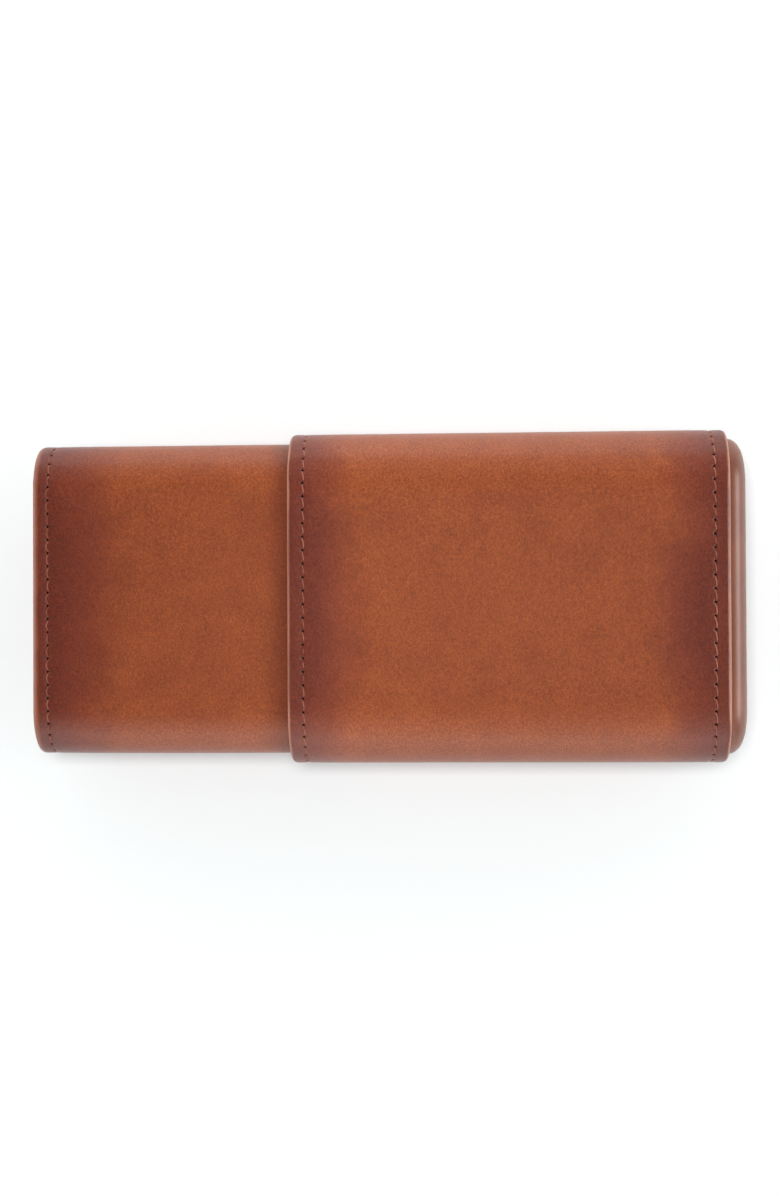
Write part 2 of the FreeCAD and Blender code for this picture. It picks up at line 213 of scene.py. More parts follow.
def swept(section, distances, profile, closed, lift=None):
    """Vertices and faces of a profile of (x, distance out from the spine) swept round a section.

    A closed profile makes a tube. An open one makes a solid with a flat face at each end of the profile. lift
    is an array, profile points by distances, of how far each vertex moves out along its normal.
    """
    spine, normal = section.walk(distances)
    rows, around = len(profile), len(distances)
    x = np.array([point[0] for point in profile])
    out = np.tile(np.array([point[1] for point in profile])[:, None], (1, around))
    if lift is not None:
        out = out + lift
    vertices = np.empty((rows, around, 3))
    vertices[:, :, 0] = x[:, None]
    vertices[:, :, 1] = spine[None, :, 0] + out * normal[None, :, 0]
    vertices[:, :, 2] = MIDDLE_Z + spine[None, :, 1] + out * normal[None, :, 1]
    index = np.arange(rows * around).reshape(rows, around)
    last = rows if closed else rows - 1
    here = index[:last]
    after = np.roll(index, -1, axis=0)[:last]
    quads = np.stack([here, after, np.roll(after, -1, axis=1), np.roll(here, -1, axis=1)], axis=-1)
    faces = quads.reshape(-1, 4).tolist()
    if not closed:
        faces.append(index[0].tolist())
        faces.append(index[-1][::-1].tolist())
    return vertices.reshape(-1, 3).tolist(), faces


def bell(offset, width):
    """A smooth bump: 1 in its middle, and about a third at width from it."""
    return np.exp(-(offset / width) ** 2)


def waviness(x, distances, seed, amount):
    """Gentle unevenness of leather or suede that is glued over board: waves along the case and round it."""
    rng = np.random.default_rng(seed)
    turns = distances / distances.max() * 2 * math.pi
    total = np.zeros((len(x), len(distances)))
    for _ in range(14):
        round_waves = rng.integers(1, 7)
        long_waves = rng.uniform(10, 90)
        phase_a, phase_b = rng.uniform(0, 2 * math.pi, 2)
        wave = np.sin(long_waves * x[:, None] + phase_a) * np.sin(round_waves * turns[None, :] + phase_b)
        total += wave * rng.uniform(0.3, 1.0)
    return amount * total / np.abs(total).max()


# ---------------------------------------------------------------- leather covers


def crown(distances, section, ease):
    """How far the top stands out so that it eases into the round sides instead of turning sharply.

    From ease before the turn to ease past it, the bend grows evenly from none to the sides' own. The rise is
    what that needs.
    """
    past_turn = np.abs(np.mod(distances, section.length) - section.length / 2) - section.flat
    spread = np.clip(past_turn / ease, -1, 1)
    share = np.where(spread < 0, 1 - (1 + spread) ** 3 / 2, (1 - spread) ** 3 / 2)
    return ease ** 2 / (6 * section.radius) * share


def stitch_count(section):
    """How many whole stitches go round a section."""
    return round(section.length / STITCH_PITCH)


def hole_distances(section):
    """Where the needle holes of a row lie, round the section. None falls on the seam."""
    count = stitch_count(section)
    return (np.arange(count) + 0.5) * section.length / count


def row_offsets(x, distances, row_x, section):
    """How far each vertex is from a row along the case, and from the row's nearest needle hole round it."""
    pitch = section.length / stitch_count(section)
    return (x - row_x)[:, None], (np.mod(distances, pitch) - pitch / 2)[None, :]


def row_relief(x, distances, row_x, section, inward):
    """How far a row of stitches moves the leather out.

    The thread pinches the leather and lies in a bed that is deeper near the holes. The leather stands up a
    little on both sides of the row, more on the rim's side. inward is +1 where the cover's body lies towards
    +X from the row, and -1 where it lies towards -X.
    """
    along, round_hole = row_offsets(x, distances, row_x, section)
    pinch = -0.10 * MM * bell(along, 3.0 * MM)
    lip = 0.06 * MM * bell(along + inward * 1.6 * MM, 1.0 * MM)
    swell = 0.04 * MM * bell(along - inward * 1.6 * MM, 1.0 * MM)
    bed_depth = 0.05 * MM + 0.12 * MM * bell(round_hole, 0.9 * MM)
    bed = -bed_depth * bell(along, BED_WIDTH)
    return pinch + lip + swell + bed - HOLE_DEPTH * needle_holes(x, distances, row_x, section)


def needle_holes(x, distances, row_x, section):
    """1 in the middle of a row's needle holes, falling steeply to 0 at their edges."""
    along, round_hole = row_offsets(x, distances, row_x, section)
    return np.exp(-((along ** 2 + round_hole ** 2) / HOLE_RADIUS ** 2) ** HOLE_STEEPNESS)


def seam_relief(x, distances, section, low_x, high_x):
    """The seam underneath: its two edges meet in a narrow slit, with a thread bed along each side."""
    across = np.where(distances > section.length / 2, distances - section.length, distances)[None, :]
    slit = -1.1 * MM * bell(across, 0.13 * MM) - 0.12 * MM * bell(across, 0.5 * MM)
    run = (x > low_x + SEAM_SETBACK - MM) & (x < high_x - SEAM_SETBACK + MM)
    bed = -0.28 * MM * bell(np.abs(across) - SEAM_OFFSET, BED_WIDTH)
    return slit + bed * run[:, None]


def rim_depth(to_rim):
    """How far a cover's outside is rolled in, near its rim: a quarter ellipse, steepest at the rim."""
    near = np.clip(1 - to_rim / RIM_REACH, 0, 1)
    return RIM_DROP * (1 - np.sqrt(1 - near ** 2))


def cover_stations(low_x, high_x, rows):
    """Where along X a cover's outer surface has vertices: close together at its rims and its rows."""
    rim_zone = 1.5 * MM
    rim = rim_zone * (1 - np.cos(np.linspace(0, math.pi / 2, 10)))
    near = np.array([0, 0.09, 0.18, 0.27, 0.36, 0.48, 0.65, 0.9, 1.3, 1.8, 2.4, 3.2]) * MM
    fine = [row + sign * near for row in rows for sign in (-1, 1)]
    body = np.linspace(low_x + rim_zone, high_x - rim_zone, 30)
    stations = merged(low_x + rim, high_x - rim, body, *fine, gap=0.05 * MM)
    return stations[(stations >= low_x) & (stations <= high_x)]


def cover_distances(section):
    """Where round its section a cover has vertices: close together at its needle holes and its seam."""
    pitch = section.length / stitch_count(section)
    near_hole = np.array([-0.46, -0.30, -0.18, -0.115, -0.075, -0.05, -0.025, 0,
                          0.025, 0.05, 0.075, 0.115, 0.18, 0.30]) * pitch
    stitched = np.mod((hole_distances(section)[:, None] + near_hole[None, :]).ravel(), section.length)
    seam = np.array([0.06, 0.12, 0.2, 0.32, 0.5, 1.5, 1.7, 1.9, 2.05, 2.2, 2.35, 2.5, 2.7, 2.9]) * MM
    return merged(stitched, [0.0], seam, section.length - seam, gap=0.035 * MM)


def make_cover(name, inset, low_x, high_x, rows, ease, seed, **rest):
    """A cover: its outer surface with all its relief, rolled over both rims to a plain inner surface."""
    section = Section(inset)
    distances = cover_distances(section)
    x = cover_stations(low_x, high_x, rows)
    relief = waviness(x, distances, seed, COVER_WAVES) + crown(distances, section, ease)[None, :]
    holes = np.zeros_like(relief)
    for row in rows:
        inward = 1 if row < (low_x + high_x) / 2 else -1
        relief += row_relief(x, distances, row, section, inward)
        holes = np.maximum(holes, needle_holes(x, distances, row, section))
    relief += seam_relief(x, distances, section, low_x, high_x)
    to_rim = np.minimum(x - low_x, high_x - x)
    relief *= np.clip(to_rim / RELIEF_FADES, RELIEF_AT_RIM, 1)[:, None]
    outside = [(at, section.radius - sunk) for at, sunk in zip(x, rim_depth(to_rim))]
    inside_out = section.radius - COVER_THICK
    bevel = [(0.0, INSIDE_BEVEL), (0.3 * INSIDE_BEVEL, 0.3 * INSIDE_BEVEL), (INSIDE_BEVEL, 0.0)]
    back = [(high_x - along, inside_out + out) for along, out in bevel]
    back += [(low_x + along, inside_out + out) for along, out in bevel[::-1]]
    plain = np.zeros((len(back), len(distances)))
    vertices, faces = swept(section, distances, outside + back, True, np.vstack([relief, plain]))
    return new_piece(name, vertices, faces, marks=np.vstack([holes, plain]).ravel(), **rest)


# ---------------------------------------------------------------- thread


PLIES = 3
PLY_RELIEF = 0.13  # how far the plies stand out, as a share of the thread's radius
TWISTS = 1.5  # turns of the plies in one stitch
STITCH_PARTS = np.array([0, 0.04, 0.08, 0.13, 0.2, 0.3, 0.42, 0.54, 0.66, 0.77, 0.85, 0.91, 0.96, 1.0])
STITCH_ENDS = 0.07  # how far from the middle of its hole a stitch starts and ends, as a share of the pitch
STITCH_DIVE = 0.62 * MM  # how far a stitch's middle line dives below the leather's surface at its ends
STITCH_ARCH = 0.46 * MM  # how far it climbs from there to its top


def strand(points, outward):
    """A stitch of twisted thread along points, as vertices and faces with closed ends."""
    tangents = np.gradient(points, axis=0)
    tangents /= np.linalg.norm(tangents, axis=1)[:, None]
    side = np.cross(tangents, outward)
    side /= np.linalg.norm(side, axis=1)[:, None]
    up = np.cross(side, tangents)
    sides = 12
    angles = np.arange(sides) * 2 * math.pi / sides
    share = np.linspace(0, 1, len(points))
    vertices = []
    for point, side_axis, up_axis, part in zip(points, side, up, share):
        radius = THREAD_RADIUS * (1 + PLY_RELIEF * np.cos(PLIES * (angles - TWISTS * 2 * math.pi * part)))
        sideways = (radius * np.cos(angles))[:, None] * side_axis
        upwards = (radius * np.sin(angles))[:, None] * up_axis
        vertices += (point + sideways + upwards).tolist()
    faces = []
    for start in range(0, (len(points) - 1) * sides, sides):
        for corner in range(sides):
            following = (corner + 1) % sides
            end = start + sides
            faces.append([start + corner, end + corner, end + following, start + following])
    faces.append(list(range(sides)))
    faces.append(list(range((len(points) - 1) * sides, len(points) * sides))[::-1])
    return vertices, faces


def stitch_height(part):
    """Height of a stitch's middle line over the leather's surface: it dives into the hole at each end."""
    return STITCH_ARCH * np.sin(np.pi * part) ** 0.5 - STITCH_DIVE


def along_pitch(part):
    """Where a part of a stitch lies between its two holes, as a share of the pitch."""
    return STITCH_ENDS + (1 - 2 * STITCH_ENDS) * part


def joined(pieces):
    """Several meshes' vertices and faces as one mesh's."""
    vertices, faces = [], []
    for points, polygons in pieces:
        start = len(vertices)
        vertices += points
        faces += [[start + corner for corner in polygon] for polygon in polygons]
    return vertices, faces


def make_rim_thread(name, inset, row_x, ease, lie, seed, **rest):
    """The stitches of a row round a cover, from hole to hole, each slanted or curved as lie says."""
    section = Section(inset)
    pitch = section.length / stitch_count(section)
    start, end, most = lie
    rng = np.random.default_rng(seed)
    stitches = []
    for hole in hole_distances(section):
        distances = hole + along_pitch(STITCH_PARTS) * pitch
        spine, normal = section.walk(distances)
        out = section.radius + crown(distances, section, ease) + stitch_height(STITCH_PARTS)
        out += rng.normal(0, 0.02) * MM
        slant = start + (end - start) * STITCH_PARTS + rng.normal(0, 0.03) * MM
        bow = most * (1 + rng.normal(0, 0.2)) * np.sin(np.pi * STITCH_PARTS)
        points = np.column_stack([row_x + slant + bow, spine[:, 0] + out * normal[:, 0],
                                  MIDDLE_Z + spine[:, 1] + out * normal[:, 1]])
        outward = np.column_stack([np.zeros(len(points)), normal])
        stitches.append(strand(points, outward))
    return new_piece(name, *joined(stitches), **rest)


def make_seam_thread(name, inset, low_x, high_x, seed, **rest):
    """The two rows of stitches beside the seam underneath."""
    run_low, run_high = low_x + SEAM_SETBACK, high_x - SEAM_SETBACK
    count = int((run_high - run_low) / STITCH_PITCH)
    pitch = (run_high - run_low) / count
    bottom = MIDDLE_Z - HALF_HEIGHT + inset
    rng = np.random.default_rng(seed)
    stitches = []
    for side in (-1, 1):
        for number in range(count):
            x = run_low + (number + along_pitch(STITCH_PARTS)) * pitch
            slant = side * SEAM_SLANT * (STITCH_PARTS - 0.5) * (1 + rng.normal(0, 0.15))
            z = bottom - stitch_height(STITCH_PARTS)
            points = np.column_stack([x, side * SEAM_OFFSET + slant, z])
            outward = np.tile([0.0, 0.0, -1.0], (len(points), 1))
            stitches.append(strand(points, outward))
    return new_piece(name, *joined(stitches), **rest)


# ---------------------------------------------------------------- end caps and linings


def dome_profile(foot_x, foot_out, rise, spread):
    """A dome's profile from its foot to near its middle: a quarter superellipse, then a nearly flat face."""
    profile = []
    for angle in np.linspace(0, math.pi / 2, 24):
        bulge = math.sin(angle) ** (2 / DOME_POWER)
        closing = 1 - max(0.0, math.cos(angle)) ** (2 / DOME_POWER)
        profile.append((foot_x + rise * bulge, foot_out - spread * closing))
    edge_x, edge_out = profile[-1]
    face_rise = 0.1 * MM
    for share in np.linspace(0.2, 0.9, 5):
        profile.append((edge_x + face_rise * share, edge_out * (1 - share)))
    return profile


def make_domed_end(name, **rest):
    """The cap at the outer half's end: a skirt under the cover, a step in and a dome like a pillow."""
    section = Section(COVER_THICK)
    distances = even_distances(section, 24, 30)
    foot_x = outer_high.x - DOME_FOOT
    foot_out = section.radius - DOME_STEP
    rise = dome_high.x - foot_x
    dome = dome_profile(foot_x, foot_out, rise, DOME_SPREAD)
    inside = dome_profile(foot_x - CAP_WALL, foot_out - CAP_WALL, rise, DOME_SPREAD - CAP_WALL)
    bevel = 0.15 * MM
    step = [(foot_x, foot_out + 0.25 * DOME_STEP), (foot_x, section.radius - bevel),
            (foot_x - bevel, section.radius)]
    skirt = [(dome_low.x, section.radius), (dome_low.x, section.radius - CAP_WALL),
             (foot_x - CAP_WALL, section.radius - CAP_WALL)]
    vertices, faces = swept(section, distances, dome[::-1] + step + skirt + inside, False)
    return new_piece(name, vertices, faces, **rest)


def make_flat_end(name, **rest):
    """The moulded cup at the inner half's end, set just inside the cover's rim and a little crowned."""
    low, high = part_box("inner_end_cap")
    section = Section(INNER_INSET + COVER_THICK)
    distances = even_distances(section, 24, 24)
    face = []
    reach = section.radius - CUP_EDGE
    for angle in np.linspace(0, math.pi / 2, 9):
        face.append((low.x + CUP_EDGE * (1 - math.sin(angle)), reach + CUP_EDGE * math.cos(angle)))
    for share in np.linspace(0.1, 0.96, 12):
        face.append((low.x - CUP_CROWN * math.sin(share * math.pi / 2), reach * (1 - share)))
    wall_out = section.radius - CAP_WALL
    back = [(high.x, section.radius), (high.x, wall_out),
            (low.x + CAP_WALL, wall_out), (low.x + CAP_WALL, AT_MIDDLE)]
    vertices, faces = swept(section, distances, face[::-1] + back, False)
    return new_piece(name, vertices, faces, **rest)


def make_lining(name, node, inset, seed, **rest):
    """A suede lining: a thin tube, glued inside its core, whose inner face isn't quite even."""
    low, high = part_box(node)
    section = Section(inset)
    distances = even_distances(section, 30, 20)
    bevel = 0.15 * MM
    x = np.linspace(low.x + bevel, high.x - bevel, 60)
    outside = [(at, section.radius) for at in x]
    inside = [(at, section.radius - LINING_THICK) for at in x[::-1]]
    half_way = section.radius - LINING_THICK / 2
    profile = [(low.x, half_way)] + outside + [(high.x, half_way)] + inside
    lift = np.zeros((len(profile), len(distances)))
    lift[-len(x):] = waviness(x, distances, seed, LINING_WAVES)[::-1]
    vertices, faces = swept(section, distances, profile, True, lift)
    return new_piece(name, vertices, faces, **rest)


def make_facing(name, node, inset, towards, **rest):
    """The suede that covers the board at the end of a half: a thin plate whose soft edge faces towards."""
    low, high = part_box(node)
    section = Section(inset)
    distances = even_distances(section, 24, 18)
    back, front = (high.x, low.x) if towards < 0 else (low.x, high.x)
    soft = FACING_EDGE
    profile = [(back, AT_MIDDLE), (back, section.radius), (front - towards * soft, section.radius)]
    for share in np.linspace(0.15, 1, 6):
        profile.append((front - towards * soft * (1 - share), section.radius - soft * share ** 2))
    for out in np.linspace(section.radius - 2 * soft, AT_MIDDLE, 14):
        profile.append((front, out))
    vertices, faces = swept(section, distances, profile, False)
    return new_piece(name, vertices, faces, **rest)


# ---------------------------------------------------------------- materials


class Nodes:
    """Short calls for building a material's nodes. A value is a node's output socket or a plain number."""

    def __init__(self, name):
        self.material = bpy.data.materials.new(name)
        self.material.use_nodes = True
        self.tree = self.material.node_tree
        self.shader = self.tree.nodes["Principled BSDF"]
        self.place = self.add("ShaderNodeTexCoord").outputs["Object"]

    def add(self, kind, **settings):
        node = self.tree.nodes.new(kind)
        for key, value in settings.items():
            setattr(node, key, value)
        return node

    def link(self, source, target):
        if hasattr(source, "links"):
            self.tree.links.new(source, target)
        else:
            target.default_value = source

    def math(self, operation, *values, clamp=False):
        node = self.add("ShaderNodeMath", operation=operation, use_clamp=clamp)
        for socket, value in zip(node.inputs, values):
            self.link(value, socket)
        return node.outputs[0]

    def spread(self, value, low, high, to_low=0.0, to_high=1.0, smooth=True):
        """value's range from low to high, taken to another range."""
        node = self.add("ShaderNodeMapRange", interpolation_type="SMOOTHSTEP" if smooth else "LINEAR")
        for name, given in (("Value", value), ("From Min", low), ("From Max", high),
                            ("To Min", to_low), ("To Max", to_high)):
            self.link(given, node.inputs[name])
        return node.outputs["Result"]

    def stretched(self, scale):
        """The place on the piece, scaled along X, Y and Z, for a noise that is longer one way."""
        node = self.add("ShaderNodeMapping")
        node.inputs["Scale"].default_value = scale
        self.link(self.place, node.inputs["Vector"])
        return node.outputs["Vector"]

    def noise(self, size, detail=3.0, rough=0.5, vector=None, distortion=0.0):
        """Noise from 0 to 1 whose features are about size across, in metres."""
        node = self.add("ShaderNodeTexNoise")
        self.link(self.place if vector is None else vector, node.inputs["Vector"])
        node.inputs["Scale"].default_value = 1 / size
        node.inputs["Detail"].default_value = detail
        node.inputs["Roughness"].default_value = rough
        node.inputs["Distortion"].default_value = distortion
        return node.outputs["Fac"]

    def cells(self, size):
        """Distance from the middle of random cells about size across, in metres."""
        node = self.add("ShaderNodeTexVoronoi")
        self.link(self.place, node.inputs["Vector"])
        node.inputs["Scale"].default_value = 1 / size
        return node.outputs["Distance"]

    def ramp(self, value, stops):
        """A colour for each value, from stops of (value, colour)."""
        node = self.add("ShaderNodeValToRGB")
        points = node.color_ramp.elements
        while len(points) < len(stops):
            points.new(0.5)
        for point, (place, colour) in zip(points, stops):
            point.position = place
            point.color = (*colour, 1)
        self.link(value, node.inputs["Fac"])
        return node.outputs["Color"]

    def between(self, value, colours):
        """A colour from the first of two to the second, as value goes from 0 to 1."""
        return self.ramp(value, [(0.0, colours[0]), (1.0, colours[1])])

    def mix(self, amount, first, second, blend="MIX"):
        """Two colours mixed, or multiplied, by amount."""
        node = self.add("ShaderNodeMix", data_type="RGBA", blend_type=blend)
        self.link(amount, node.inputs["Factor"])
        for value, socket in ((first, node.inputs[6]), (second, node.inputs[7])):
            self.link(value if hasattr(value, "links") else (*value, 1), socket)
        return node.outputs[2]

    def warm(self, shade):
        """A colour to multiply leather by: white where shade is 1, and redder as it is darker."""
        node = self.add("ShaderNodeCombineColor")
        deeper = self.math("POWER", shade, WARMTH)
        for socket, value in zip(node.inputs, (shade, deeper, deeper)):
            self.link(value, socket)
        return node.outputs[0]

    def attribute(self, name):
        return self.add("ShaderNodeAttribute", attribute_name=name).outputs["Fac"]

    def axis(self, number):
        """The place along X, Y or Z, which are 0, 1 and 2."""
        node = self.add("ShaderNodeSeparateXYZ")
        self.link(self.place, node.inputs[0])
        return node.outputs[number]

    def bump(self, height, distance, strength, under=None):
        """A normal for a relief distance deep, on top of the normal under."""
        node = self.add("ShaderNodeBump")
        node.inputs["Distance"].default_value = distance
        node.inputs["Strength"].default_value = strength
        self.link(height, node.inputs["Height"])
        if under is not None:
            self.link(under, node.inputs["Normal"])
        return node.outputs["Normal"]

    def finish(self, colour, roughness, normal=None, **plain):
        """Links the shader and gives the material. plain sets its other sockets, named with _ for a space."""
        self.link(colour, self.shader.inputs["Base Color"])
        self.link(roughness, self.shader.inputs["Roughness"])
        if normal is not None:
            self.link(normal, self.shader.inputs["Normal"])
        for name, value in plain.items():
            self.shader.inputs[name.replace("_", " ")].default_value = value
        return self.material


# The leather's colours: its light middle through to its burnished ends, its rims, lighter partly from wear
# and partly as a painted highlight, and the painted shade of its needle holes.
TAN = (0.240, 0.0508, 0.0116)
RUSSET = (0.175, 0.0318, 0.0108)
OXBLOOD = (0.116, 0.0190, 0.0090)
WORN_EDGE_AND_GLINT = (0.470, 0.200, 0.125)
# Painted shade for the hollows of the needle holes.
HOLE_SHADE_BROWN = (0.030, 0.006, 0.004)
HOLE_SHADE_FLECK = (0.060, 0.013, 0.008)

# The other pieces' colours, each from its darker to its lighter parts.
MOULDED = ((0.160, 0.044, 0.019), (0.200, 0.058, 0.026))
SUEDE = ((0.200, 0.098, 0.050), (0.340, 0.190, 0.105))
GREYBOARD = ((0.12, 0.085, 0.055), (0.24, 0.18, 0.125))
THREAD = ((0.25, 0.082, 0.050), (0.34, 0.122, 0.076))
DARK_THREAD = ((0.19, 0.056, 0.033), (0.27, 0.086, 0.050))
FLOOR_WHITE = (0.855, 0.885, 0.890)

# The leather's textures: how large each one's features are, the darkest and lightest shade that it multiplies
# the colour by, and how deep and how strong its relief is.
CLOUD_SIZE = 38 * MM
PATCH_SIZE = 9 * MM
PATCH_SHADES = (0.93, 1.07)
MOTTLE_SIZE = 2.1 * MM
MOTTLE_SHADES = (0.97, 1.03)
MOTTLE_RELIEF = (0.12 * MM, 0.30)
PEBBLE_SIZE = 0.8 * MM
PEBBLE_RELIEF = (0.05 * MM, 0.30)
GRAIN_SIZE = 0.44 * MM
GRAIN_SHADES = (0.79, 1.22)
GRAIN_RELIEF = (0.07 * MM, 0.48)
FIBRE_SIZE = 0.40 * MM
FIBRE_SHADES = (0.82, 1.19)
FIBRE_RELIEF = (0.06 * MM, 0.45)

# What else makes the leather lighter or darker.
WARMTH = 1.35  # a shade's power in green and blue, so that darker leather is redder
CLOUD_WANDER = 5.0 * MM  # how far the edges of the burnished bands wander with the two larger noises
PATCH_WANDER = 4.0 * MM
MIDDLE_WIDENS = 1.5 * MM  # the bands are wider in the middle of the case's width, and narrower at its sides
SIDES_NARROW = 3.5 * MM
# Painted shadow that the other half's mouth rim casts on the inner leather: how far it reaches, how it eases
# into the hidden part, and how dark it is.
MOUTH_SHADOW_REACH = 7.5 * MM
MOUTH_SHADOW_FADES = 15 * MM
MOUTH_SHADOW_SHADE = 0.65
HIDDEN_SHADE = 0.84  # the part that stays inside the outer half has not faded
SIDE_LIGHT_STARTS = 24 * MM  # painted light: the leather is a little lighter towards the rounded sides
SIDE_LIGHT_FULL = 36 * MM
SIDE_LIGHT_LIGHTENS = 1.10
RIM_GLINT_WANDER = 0.12 * MM
RIM_GLINT_FULL = 0.25 * MM  # this close to a rim the lighter rim colour, partly wear and partly a painted highlight, is at its full amount


def burnish(n, x, across, patch, mottle, bands):
    """How burnished leather is, from 0 to 1: in bands with wandering edges, mottled as if rubbed by hand."""
    cloud = n.noise(CLOUD_SIZE, detail=1.0)
    wander = n.math("ADD", n.spread(cloud, 0.2, 0.8, -CLOUD_WANDER, CLOUD_WANDER, smooth=False),
                    n.spread(patch, 0.2, 0.8, -PATCH_WANDER, PATCH_WANDER, smooth=False))
    wander = n.math("ADD", wander, n.spread(across, 8 * MM, 36 * MM, -MIDDLE_WIDENS, SIDES_NARROW))
    dark = 0.0
    for end, full, gone in bands:
        inward = n.math("ABSOLUTE", n.math("SUBTRACT", x, end))
        band = n.spread(n.math("ADD", inward, wander), full, gone, 1.0, 0.0, smooth=False)
        dark = n.math("MAXIMUM", dark, band)
    dark = n.math("MULTIPLY", dark, n.spread(patch, 0.25, 0.75, 0.76, 1.14))
    return n.math("ADD", dark, n.spread(mottle, 0.25, 0.75, -0.07, 0.07), clamp=True)


def leather(name, low_x, high_x, bands, tones, rim_wear_and_glint, mouth_shadow_x=None):
    """Smooth leather, hand-coloured darker towards its ends, with fine grain and rims lighter from wear and a
    painted highlight.

    bands are (end, full, gone) triples: the end that a dark band starts from, how far in it stays fully dark,
    and how far in it has gone. tones is how light the leather is at its low and at its high end.
    rim_wear_and_glint is how far in from its rims the lighter rim colour goes, and how strong it is: partly
    real wear, partly a painted highlight where the rolled rim catches the light. At mouth_shadow_x, where the
    other half's mouth rim sits, a painted shadow darkens the leather beside the rim, and beyond it the
    leather stays hidden in the other half.
    """
    n = Nodes(name)
    x = n.axis(0)
    across = n.math("ABSOLUTE", n.axis(1))
    patch = n.noise(PATCH_SIZE, detail=3.0, rough=0.55)
    mottle = n.noise(MOTTLE_SIZE, detail=3.0, rough=0.6)
    grain = n.noise(GRAIN_SIZE, detail=2.0, rough=0.75)
    fibre = n.noise(FIBRE_SIZE, detail=2.0, rough=0.75, vector=n.stretched((1.0, 0.5, 0.5)))

    dark = burnish(n, x, across, patch, mottle, bands)
    # The last shade is painted light that lightens the rounded sides.
    shades = [n.spread(grain, 0.3, 0.7, *GRAIN_SHADES), n.spread(fibre, 0.3, 0.7, *FIBRE_SHADES),
              n.spread(mottle, 0.25, 0.75, *MOTTLE_SHADES), n.spread(patch, 0.25, 0.75, *PATCH_SHADES),
              n.spread(x, low_x, high_x, *tones, smooth=False),
              n.spread(across, SIDE_LIGHT_STARTS, SIDE_LIGHT_FULL, 1.0, SIDE_LIGHT_LIGHTENS)]
    # Painted shadow beside the other half's mouth rim, easing into the darker hidden part.
    if mouth_shadow_x is not None:
        shades.append(n.spread(x, mouth_shadow_x - MOUTH_SHADOW_REACH, mouth_shadow_x, 1.0, MOUTH_SHADOW_SHADE))
        shades.append(n.spread(x, mouth_shadow_x, mouth_shadow_x + MOUTH_SHADOW_FADES, 1.0, HIDDEN_SHADE / MOUTH_SHADOW_SHADE))
    shade = shades[0]
    for part in shades[1:]:
        shade = n.math("MULTIPLY", shade, part)
    colour = n.ramp(dark, [(0.0, TAN), (0.5, RUSSET), (1.0, OXBLOOD)])
    colour = n.mix(1.0, colour, n.warm(shade), "MULTIPLY")

    # The rims are lighter, partly from wear and partly as a painted highlight where the rolled rim catches
    # the light.
    reach, amount = rim_wear_and_glint
    to_rim = n.math("MINIMUM", n.math("SUBTRACT", x, low_x), n.math("SUBTRACT", high_x, x))
    to_rim_glint = n.math("ADD", to_rim, n.spread(patch, 0.3, 0.7, -RIM_GLINT_WANDER, RIM_GLINT_WANDER))
    colour = n.mix(n.spread(to_rim_glint, RIM_GLINT_FULL, reach, amount, 0.0), colour, WORN_EDGE_AND_GLINT)
    # Painted shade: the needle holes darken towards near black.
    hole_shade = n.spread(n.attribute("marks"), 0.12, 0.70, 0.0, 0.95)
    colour = n.mix(hole_shade, colour, HOLE_SHADE_BROWN)

    roughness = n.math("SUBTRACT", n.spread(mottle, 0.2, 0.8, 0.37, 0.44), n.math("MULTIPLY", dark, 0.03))
    relief = n.bump(n.cells(PEBBLE_SIZE), *PEBBLE_RELIEF)
    for height, depth_and_strength in ((grain, GRAIN_RELIEF), (fibre, FIBRE_RELIEF), (mottle, MOTTLE_RELIEF)):
        relief = n.bump(height, *depth_and_strength, relief)
    return n.finish(colour, roughness, relief, IOR=1.55)


def hole_shade_leather(name):
    """Painted shade inside a needle hole: near black, and too rough and dull to shine."""
    n = Nodes(name)
    fibre = n.noise(0.2 * MM, detail=2.0)
    colour = n.between(n.spread(fibre, 0.3, 0.7), (HOLE_SHADE_BROWN, HOLE_SHADE_FLECK))
    return n.finish(colour, 0.95, Specular_IOR_Level=0.1)


def moulded_leather(name):
    """Polished leather that was moulded wet: close, glossy, with only a trace of grain."""
    n = Nodes(name)
    cloud = n.noise(12 * MM, detail=3.0)
    grain = n.noise(0.8 * MM, detail=2.0)
    colour = n.between(n.spread(cloud, 0.3, 0.7), MOULDED)
    roughness = n.spread(grain, 0.3, 0.7, 0.38, 0.44)
    relief = n.bump(grain, 0.04 * MM, 0.2)
    relief = n.bump(cloud, 0.25 * MM, 0.25, relief)
    return n.finish(colour, roughness, relief, IOR=1.62)


def suede(name):
    """Napped suede: dull, with a fine fibrous mottle."""
    n = Nodes(name)
    nap = n.noise(0.35 * MM, detail=3.0, rough=0.7)
    brushed = n.noise(5 * MM, detail=3.0, rough=0.6, distortion=0.6)
    mixed = n.math("ADD", n.math("MULTIPLY", nap, 0.5), n.math("MULTIPLY", brushed, 0.5))
    colour = n.between(n.spread(mixed, 0.35, 0.65), SUEDE)
    relief = n.bump(nap, 0.15 * MM, 0.7)
    return n.finish(colour, 0.95, relief, Sheen_Weight=0.2, Sheen_Roughness=0.5)


def board(name):
    """Grey-brown bookbinder's board, with fibres pressed into its face."""
    n = Nodes(name)
    fibre = n.noise(1.2 * MM, detail=4.0, rough=0.7, vector=n.stretched((0.35, 1.0, 1.0)))
    fleck = n.noise(0.3 * MM, detail=2.0)
    colour = n.between(n.spread(fibre, 0.3, 0.7), GREYBOARD)
    return n.finish(colour, n.spread(fleck, 0.3, 0.7, 0.80, 0.92), n.bump(fibre, 0.08 * MM, 0.5))


def waxed_thread(name, colours):
    """Waxed linen thread, a little uneven in colour from stitch to stitch."""
    n = Nodes(name)
    stitch = n.noise(6 * MM, detail=1.0)
    fibre = n.noise(0.18 * MM, detail=2.0)
    colour = n.between(n.spread(stitch, 0.35, 0.65), colours)
    return n.finish(colour, n.spread(fibre, 0.3, 0.7, 0.55, 0.70), n.bump(fibre, 0.03 * MM, 0.5),
                    Specular_IOR_Level=0.35)


# ---------------------------------------------------------------- the case


